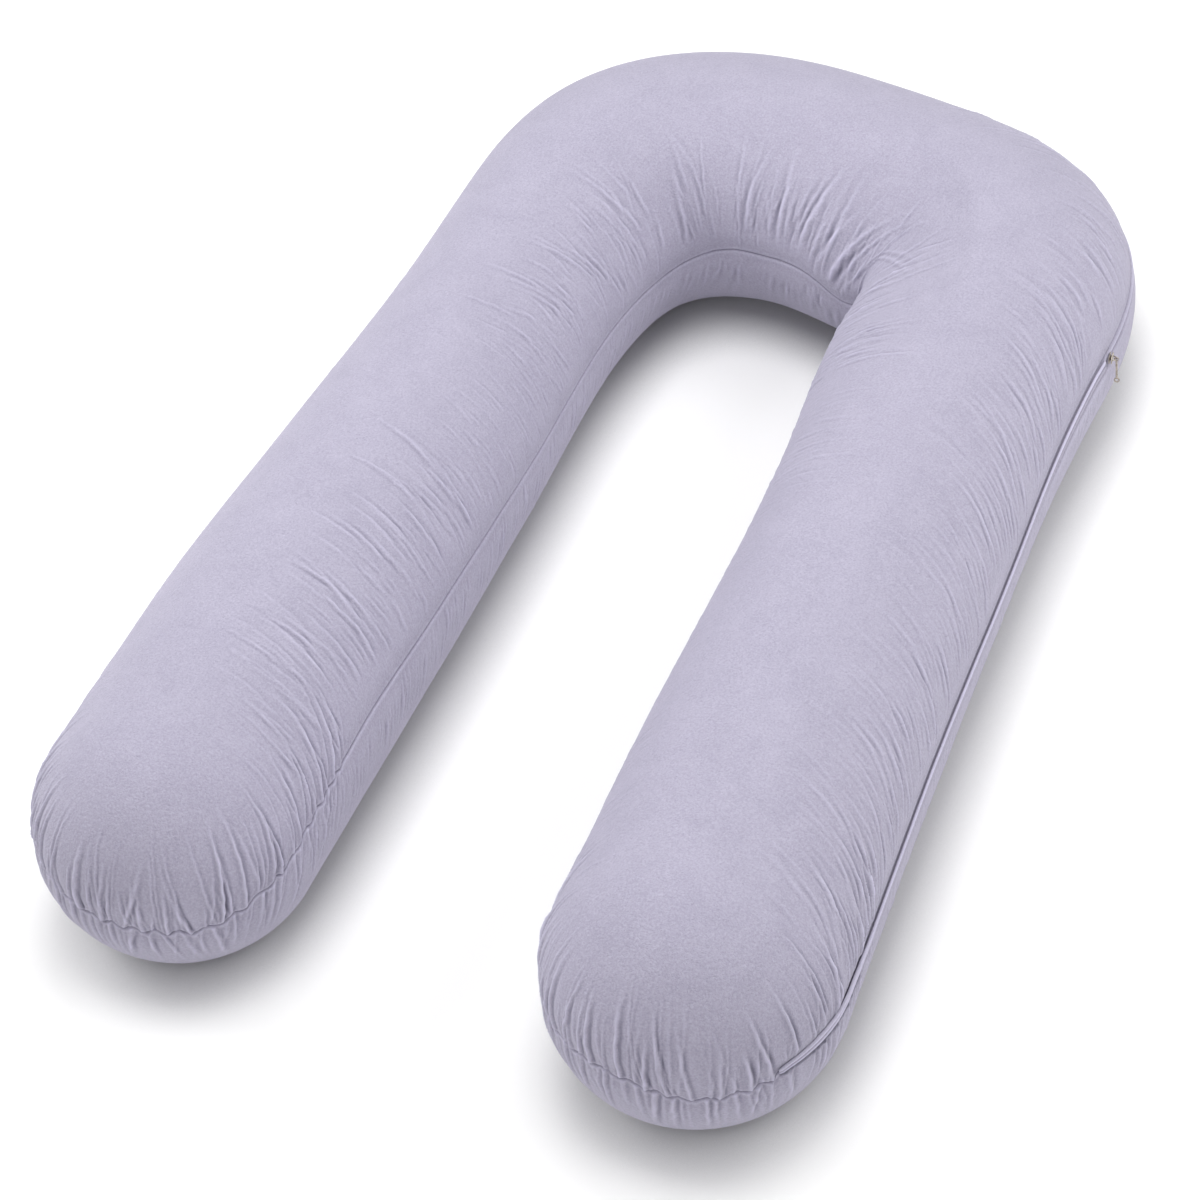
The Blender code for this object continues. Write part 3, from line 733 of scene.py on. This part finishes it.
def smoothed(values, spread, axis):
    """Values of the net averaged with a bell curve over columns (axis 0, a closed loop) or rows (axis 1)."""
    reach = math.ceil(BELL_REACH * spread)
    shares = np.exp(-(np.arange(-reach, reach + 1) / spread) ** 2)
    shares /= shares.sum()
    if axis == 1:
        values = np.pad(values, ((0, 0), (reach, reach)), mode="edge")
    steps = range(-reach, reach + 1)
    total = sum(share * np.roll(values, step, axis) for share, step in zip(shares, steps))
    return total[:, reach:-reach] if axis == 1 else total


def fold_tone(push):
    """Painted shading of the cloth, from -1 (painted shade) in a hollow to 1 (painted highlight) on a ridge.
    """
    around = smoothed(smoothed(push, TONE_COLUMNS, 0), TONE_ROWS, 1)
    return np.clip((push - around) / TONE_HEIGHT, -1, 1)


def gap_tone(tone, lap, far):
    """The tone with the painted shadow in the gap under the flap's free edge."""
    laps, limits, strengths = np.array(GAP).T
    limit = np.interp(lap, laps, limits)[:, None] / 1000
    gap = np.interp(lap, laps, strengths)[:, None] * np.clip((far - limit) / GAP_SOFT + 1, 0, 1)
    gap *= far < 0
    return tone * (1 - gap) - gap


def net_mesh(name, points, far, tone, columns):
    """Closed mesh of the net, with a UV map in metres along and away from the seam."""
    count, rows = points.shape[:2]
    inner_rows = rows - 2
    sections = columns.sections
    index = np.empty((count, rows), int)
    index[:, 0] = columns.section
    index[:, -1] = sections + columns.section
    index[:, 1:-1] = 2 * sections + np.arange(count * inner_rows).reshape(count, inner_rows)
    places = np.empty((2 * sections + count * inner_rows, 3))
    places[index[:, 0]] = points[:, 0]
    places[index[:, -1]] = points[:, -1]
    places[index[:, 1:-1]] = points[:, 1:-1]

    seam = points[:, ROWS_ABOVE]
    along = np.concatenate(([0], np.cumsum(np.linalg.norm(np.roll(seam, -1, axis=0) - seam, axis=1))))
    following = np.roll(index, -1, axis=0)
    faces, maps = [], []
    for c in range(count):
        for r in range(rows - 1):
            corners = (index[c, r], index[c, r + 1], following[c, r + 1], following[c, r])
            spots = (
                (along[c], far[c, r]), (along[c], far[c, r + 1]),
                (along[c + 1], far[c, r + 1]), (along[c + 1], far[c, r]),
            )
            if corners[0] == corners[3]:
                corners, spots = corners[:3], spots[:3]
            elif corners[1] == corners[2]:
                corners, spots = (corners[0], corners[1], corners[3]), (spots[0], spots[1], spots[3])
            faces.append(corners)
            maps.extend(spots)
    mesh = bpy.data.meshes.new(name)
    mesh.from_pydata(places.tolist(), [], faces)
    layer = mesh.uv_layers.new(name="cloth")
    layer.data.foreach_set("uv", np.array(maps, np.float32).ravel())
    # Attribute of painted shading, which the velvet turns into painted highlight and painted shade.
    tones = np.zeros(len(places), np.float32)
    tones[index] = tone
    mesh.attributes.new("painted_shading", "FLOAT", "POINT").data.foreach_set("value", tones)
    mesh.shade_smooth()
    return mesh


def build_flap(skin, points, normals, push):
    """Folded strip over the zip, bridging the small unevenness of the cover under it."""
    places, heights, tones = flap_section(skin.lap)
    covered = (skin.far > places.min(axis=1)[:, None]) & (skin.far < places.max(axis=1)[:, None])
    highest = np.where(covered, push, -1).max(axis=1, keepdims=True)
    highest = np.max([np.roll(highest, step, 0) for step in range(-FLAP_BRIDGE, FLAP_BRIDGE + 1)], axis=0)
    seat = smoothed(np.maximum(highest, push.min()), FLAP_BRIDGE, 0) + FLAP_CLEAR
    under = np.flatnonzero((skin.lap >= FLAP_LAPS[0]) & (skin.lap <= FLAP_LAPS[1]))
    start, end = skin.along[under[0]], skin.along[under[-1]]
    count = len(FLAP_PROFILE)
    back = np.arange(count - 2, 0, -FLAP_BACK_STEP)
    strip = bmesh.new()
    # Painted shading of the flap: its ridges painted paler as a painted highlight, its valley and edges
    # darker as painted shade.
    painted_shading = strip.verts.layers.float.new("painted_shading")
    rings, valley = [], []
    for column in under:
        nearest = min(skin.along[column] - start, end - skin.along[column])
        full = math.sqrt(min(nearest / FLAP_TIP, 1))
        far_up = skin.far[column, ::-1]
        narrow = min((end - skin.along[column]) / FLAP_POINT, 1)
        narrow = FLAP_POINT_SHARE + (1 - FLAP_POINT_SHARE) * narrow
        place = places[column, -1] + (places[column] - places[column, -1]) * narrow
        spots, outs = [
            np.stack([np.interp(place, far_up, net[column, ::-1, i]) for i in range(3)], axis=1)
            for net in (points, normals)
        ]
        seats = spots + outs * seat[column]
        tops = seats + outs * (heights[column] * full)[:, None]
        ring = [strip.verts.new(spot) for spot in (*tops, *seats[back])]
        for vert, tone in zip(ring, tones[column]):
            vert[painted_shading] = tone
        rings.append(ring)
        valley.append(tops[FLAP_VALLEY] + outs[FLAP_VALLEY] * THREAD_THICK * THREAD_PROUD)
    for ring, following in zip(rings, rings[1:]):
        for a in range(len(ring)):
            b = (a + 1) % len(ring)
            strip.faces.new((ring[a], ring[b], following[b], following[a]))
    strip.faces.new(rings[0])
    strip.faces.new(rings[-1])
    bmesh.ops.recalc_face_normals(strip, faces=strip.faces)
    mesh = bpy.data.meshes.new("zip_flap_cloth")
    strip.to_mesh(mesh)
    strip.free()
    mesh.shade_smooth()
    return add_object("zip_flap_cloth", mesh), valley


def stitch_tree(material):
    """Geometry Nodes: a round-ended stitch at every pitch along a line."""
    tree = bpy.data.node_groups.new("Row of stitches", "GeometryNodeTree")
    tree.interface.new_socket("Line", in_out="INPUT", socket_type="NodeSocketGeometry")
    for name in ("Pitch", "Length", "Thickness"):
        tree.interface.new_socket(name, in_out="INPUT", socket_type="NodeSocketFloat")
    tree.interface.new_socket("Stitches", in_out="OUTPUT", socket_type="NodeSocketGeometry")
    given = add_node(tree, "NodeGroupInput").outputs
    spots = add_node(
        tree, "GeometryNodeCurveToPoints", {"mode": "LENGTH"}, Curve=given["Line"], Length=given["Pitch"],
    )
    bead = add_node(tree, "GeometryNodeMeshUVSphere", None, Segments=6, Rings=5, Radius=0.5)
    size = add_node(
        tree, "ShaderNodeCombineXYZ", None, X=given["Thickness"], Y=given["Thickness"], Z=given["Length"],
    )
    stitch = add_node(
        tree, "GeometryNodeTransform", None, Geometry=bead.outputs["Mesh"], Scale=size.outputs["Vector"],
    )
    row = add_node(
        tree, "GeometryNodeInstanceOnPoints", None, Points=spots.outputs["Points"],
        Instance=stitch.outputs["Geometry"], Rotation=spots.outputs["Rotation"],
    )
    real = add_node(tree, "GeometryNodeRealizeInstances", None, Geometry=row.outputs["Instances"])
    finish = add_node(
        tree, "GeometryNodeSetMaterial", None, Geometry=real.outputs["Geometry"], Material=material,
    )
    add_node(tree, "NodeGroupOutput", None, Stitches=finish.outputs["Geometry"])
    return tree


def build_stitches(line, material):
    """Stitches along a line of points, as a plain mesh."""
    curve = bpy.data.curves.new("stitch line", "CURVE")
    curve.dimensions = "3D"
    spline = curve.splines.new("POLY")
    spline.points.add(len(line) - 1)
    spline.points.foreach_set("co", np.array([(*spot, 1.0) for spot in line]).ravel())
    guide = add_object("stitch line", curve)
    modifier = guide.modifiers.new("stitches", "NODES")
    tree = stitch_tree(material)
    modifier.node_group = tree
    sizes = {"Pitch": STITCH_PITCH, "Length": STITCH_LENGTH, "Thickness": THREAD_THICK}
    for item in tree.interface.items_tree:
        if item.name in sizes:
            modifier[item.identifier] = sizes[item.name]
    evaluated = guide.evaluated_get(bpy.context.evaluated_depsgraph_get())
    mesh = bpy.data.meshes.new_from_object(evaluated)
    bpy.data.objects.remove(guide)
    mesh.name = "zip_flap_stitches"
    mesh.shade_smooth()
    return add_object("zip_flap_stitches", mesh)


def build_cover():
    """Cover of the pillow, and the flap of its zip with the line of the flap's stitches."""
    columns = Columns()
    points, far = pillow_net(columns)
    low, high = points.min(axis=(0, 1)), points.max(axis=(0, 1))
    cad_low, cad_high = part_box("pillow")
    for i in (0, 1):
        points[:, :, i] += (cad_low[i] + cad_high[i] - low[i] - high[i]) / 2
    normals = net_normals(points)
    rng = np.random.default_rng(CREASE_SEED)
    skin = Skin(points, far, columns)
    wave = gather_ends(skin, rng)
    fold_bend(skin, rng)
    scatter_creases(skin, rng, CREASE_FIELDS, 1)
    scatter_creases(skin, rng, LOWER_FIELDS, -1)
    ground = flap_ground(columns.lap, far)
    push = skin.push * (1 - FLAP_FLATTENS * ground) + seam_push(columns.lap, far)
    push = push + side_push(columns.lap, far) + lump_push(points)
    push[:, 0] = push[columns.section, 0]
    wave *= 1 - window(columns.lap, *FLAP_LAPS, FLAP_EASE)
    wave += np.interp(columns.lap, *zip(*JOG)) / 1000
    flap, valley = build_flap(skin, points, normals, push)
    points = points + normals * push[:, :, None]
    points[:, :, 2] += wave[:, None] * np.exp(-(far / SEAM_WAVE_WIDTH) ** 2)
    points[:, :, 2] = np.maximum(points[:, :, 2], 0)
    # Painted shading: painted highlight on ridges, painted shade in hollows, painted shadow in the gap under
    # the flap.
    tone = gap_tone(fold_tone(push), columns.lap, far)
    cover = add_object("pillow_cover", net_mesh("pillow_cover", points, far, tone, columns))
    return cover, flap, valley


# Materials -------------------------------------------------------------------


def velvet():
    """Short-pile knitted polyester velvet: matt, with light catching on the fibre ends at its rims. The pile
    lies a little differently from place to place, which gives a faint worm-like mottle, and its fibres a
    fine grain. Both come from bump and a small change of colour. A ridge is painted paler, as a painted
    highlight, and a hollow darker, as painted shade, as the cloth's attribute of painted shading says."""
    material, tree, shader = start_material("Lilac polyester velvet")
    shader.inputs["Roughness"].default_value = 0.88
    shader.inputs["Sheen Weight"].default_value = 0.3
    shader.inputs["Sheen Roughness"].default_value = 0.5
    shader.inputs["Sheen Tint"].default_value = linear("E9E6F4")
    place = add_node(tree, "ShaderNodeTexCoord").outputs["Object"]

    total = 0.0
    for label, size, detail, twist, height in NAP:
        grain = add_node(
            tree, "ShaderNodeTexNoise", {"label": label, "normalize": False},
            Vector=place, Scale=1 / size, Detail=detail, Roughness=0.55, Distortion=twist,
        )
        total = add_node(
            tree, "ShaderNodeMath", {"operation": "MULTIPLY_ADD"},
            _0=grain.outputs["Fac"], _1=height, _2=total,
        ).outputs["Value"]
    bump = add_node(tree, "ShaderNodeBump", None, Strength=1.0, Distance=1.0, Height=total)
    tree.links.new(bump.outputs["Normal"], shader.inputs["Normal"])

    patches = add_node(
        tree, "ShaderNodeTexNoise", {"normalize": False},
        Vector=place, Scale=1 / PATCH_SIZE, Detail=2.0, Roughness=0.5, Distortion=0.6,
    )
    fibres = add_node(
        tree, "ShaderNodeTexNoise", {"normalize": False},
        Vector=place, Scale=1 / FIBRE_SIZE, Detail=2.0, Roughness=0.7, Distortion=0.3,
    )
    tone = add_node(
        tree, "ShaderNodeMath", {"operation": "MULTIPLY_ADD"},
        _0=patches.outputs["Fac"], _1=PATCH_SHARE, _2=fibres.outputs["Fac"],
    )
    share = add_node(
        tree, "ShaderNodeMapRange", None, Value=tone.outputs["Value"],
        From_Min=-0.8, From_Max=0.8, To_Min=0.0, To_Max=1.0,
    )
    colour = add_node(
        tree, "ShaderNodeMix", {"data_type": "RGBA"}, _0=share.outputs["Result"],
        _6=linear("9793A6"), _7=linear("AAA6B8"),
    )
    # Painted light: ridges turn toward C6C2D8 as a painted highlight, and hollows and the gap under the flap
    # toward 5E5B6E as painted shade.
    painted_shading = add_node(tree, "ShaderNodeAttribute", {"attribute_name": "painted_shading"}).outputs["Fac"]
    painted_highlight = add_node(
        tree, "ShaderNodeMix", {"data_type": "RGBA"}, _0=painted_shading, _6=colour.outputs[2], _7=linear("C6C2D8"),
    )
    depth = add_node(tree, "ShaderNodeMath", {"operation": "MULTIPLY"}, _0=painted_shading, _1=-1.0)
    painted_shade = add_node(
        tree, "ShaderNodeMix", {"data_type": "RGBA"}, _0=depth.outputs["Value"],
        _6=painted_highlight.outputs[2], _7=linear("5E5B6E"),
    )
    tree.links.new(painted_shade.outputs[2], shader.inputs["Base Color"])
    return material


def thread():
    """Spun polyester sewing thread: twisted from short fibres, so it is matt and faintly ridged."""
    material, tree, shader = start_material("Lilac spun polyester thread")
    shader.inputs["Roughness"].default_value = 0.7
    shader.inputs["Sheen Weight"].default_value = 0.2
    place = add_node(tree, "ShaderNodeTexCoord").outputs["Object"]
    twist = add_node(
        tree, "ShaderNodeTexNoise", None, Vector=place, Scale=1 / THREAD_TWIST, Detail=2.0, Roughness=0.6,
    )
    colour = add_node(
        tree, "ShaderNodeMix", {"data_type": "RGBA"}, _0=twist.outputs["Fac"],
        _6=linear("8F8AA0"), _7=linear("B4AFC6"),
    )
    bump = add_node(tree, "ShaderNodeBump", None, Strength=0.4, Distance=0.0001, Height=twist.outputs["Fac"])
    tree.links.new(colour.outputs[2], shader.inputs["Base Color"])
    tree.links.new(bump.outputs["Normal"], shader.inputs["Normal"])
    return material


def nickel():
    """Antique nickel: cast, plated and tumbled, so its highlights are soft and its hollows dull brown."""
    material, tree, shader = start_material("Tumbled antique nickel")
    shader.inputs["Metallic"].default_value = 1.0
    place = add_node(tree, "ShaderNodeTexCoord").outputs["Object"]
    tarnish = add_node(
        tree, "ShaderNodeTexNoise", None, Vector=place, Scale=1 / TARNISH_SIZE, Detail=4.0, Roughness=0.6,
    )
    hollow = add_node(tree, "ShaderNodeAmbientOcclusion", {"samples": 8}, Distance=TUMBLED_REACH)
    worn = add_node(
        tree, "ShaderNodeMath", {"operation": "MULTIPLY"},
        _0=tarnish.outputs["Fac"], _1=hollow.outputs["AO"],
    )
    share = add_node(
        tree, "ShaderNodeMapRange", None, Value=worn.outputs["Value"],
        From_Min=0.15, From_Max=0.6, To_Min=0.0, To_Max=1.0,
    )
    colour = add_node(
        tree, "ShaderNodeMix", {"data_type": "RGBA"}, _0=share.outputs["Result"],
        _6=linear("463C34"), _7=linear("C9BFB2"),
    )
    rough = add_node(
        tree, "ShaderNodeMapRange", None, Value=tarnish.outputs["Fac"],
        From_Min=0.3, From_Max=0.7, To_Min=0.5, To_Max=0.3,
    )
    bump = add_node(
        tree, "ShaderNodeBump", None, Strength=0.2, Distance=0.0002, Height=tarnish.outputs["Fac"],
    )
    tree.links.new(colour.outputs[2], shader.inputs["Base Color"])
    tree.links.new(rough.outputs["Result"], shader.inputs["Roughness"])
    tree.links.new(bump.outputs["Normal"], shader.inputs["Normal"])
    return material


# Stage -----------------------------------------------------------------------


def add_camera():
    """Camera of the photograph: its place round the pillow, its roll and its lens."""
    azimuth, elevation, roll = map(math.radians, (CAMERA_AZIMUTH, CAMERA_ELEVATION, CAMERA_ROLL))
    back = Vector((
        math.sin(azimuth) * math.cos(elevation),
        -math.cos(azimuth) * math.cos(elevation),
        math.sin(elevation),
    ))
    right = (-back).cross(Vector((0, 0, 1))).normalized()
    up = right.cross(-back)
    rolled_right = right * math.cos(roll) + up * math.sin(roll)
    rolled_up = up * math.cos(roll) - right * math.sin(roll)
    data = bpy.data.cameras.new("Camera")
    data.lens = CAMERA_LENS
    data.sensor_width = SENSOR_WIDTH
    camera = add_object("Camera", data)
    turn = Matrix((rolled_right, rolled_up, back)).transposed().to_4x4()
    place = Vector(CAMERA_TARGET) + back * CAMERA_DISTANCE
    camera.matrix_world = Matrix.Translation(place) @ turn
    bpy.context.scene.camera = camera


def add_floor():
    """White paper under the pillow, matt, with a painted shadow that darkens it where the pillow keeps the
    light away.
    """
    bpy.ops.mesh.primitive_plane_add(size=FLOOR_SIZE)
    floor = bpy.context.active_object
    floor.name = "floor"
    material, tree, shader = start_material("White paper sweep")
    shader.inputs["Roughness"].default_value = 0.95
    shader.inputs["Specular IOR Level"].default_value = 0.1
    # Painted shadow: near the pillow the paper's FCFCFB turns toward C0C0C1.
    shade = add_node(tree, "ShaderNodeAmbientOcclusion", {"samples": 8}, Distance=SHADE_REACH)
    depth = add_node(
        tree, "ShaderNodeMapRange", None, Value=shade.outputs["AO"],
        From_Min=0.2, From_Max=0.7, To_Min=0.0, To_Max=1.0,
    )
    painted_shadow = add_node(
        tree, "ShaderNodeMix", {"data_type": "RGBA"}, _0=depth.outputs["Result"],
        _6=linear("C0C0C1"), _7=linear("FCFCFB"),
    )
    tree.links.new(painted_shadow.outputs[2], shader.inputs["Base Color"])
    floor.data.materials.append(material)


def add_light():
    """A lit room and its soft boxes, each aimed at the pillow's middle."""
    world = bpy.data.worlds.new("Studio")
    bpy.context.scene.world = world
    world.use_nodes = True
    background = world.node_tree.nodes["Background"]
    background.inputs["Color"].default_value = (1, 1, 1, 1)
    background.inputs["Strength"].default_value = ROOM_LIGHT
    for name, place, watts in SOFT_BOXES:
        data = bpy.data.lights.new(name, "AREA")
        data.shape = "SQUARE"
        data.size = SOFT_BOX_SIZE
        data.energy = watts
        lamp = add_object(name, data)
        place = Vector(place)
        turn = place.to_track_quat("Z", "Y").to_matrix().to_4x4()
        lamp.matrix_world = Matrix.Translation(place) @ turn
        lamp.visible_camera = False
    bpy.context.scene.view_settings.view_transform = "Standard"


def main():
    """The stage and the pillow's pieces, each attached to the body; the parts that the cover and the flap
    replace are hidden.
    """
    add_camera()
    add_floor()
    add_light()
    cover, flap, valley = build_cover()
    stitches = build_stitches(valley, thread())
    cloth = velvet()
    cover.data.materials.append(cloth)
    flap.data.materials.append(cloth)
    metal = nickel()
    for node in ("zip_slider", "zip_pull"):
        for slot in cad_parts[node].material_slots:
            slot.material = metal
    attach(cover, "root")
    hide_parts("pillow")
    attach(flap, "root")
    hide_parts("zip_flap")
    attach(stitches, "root")


main()
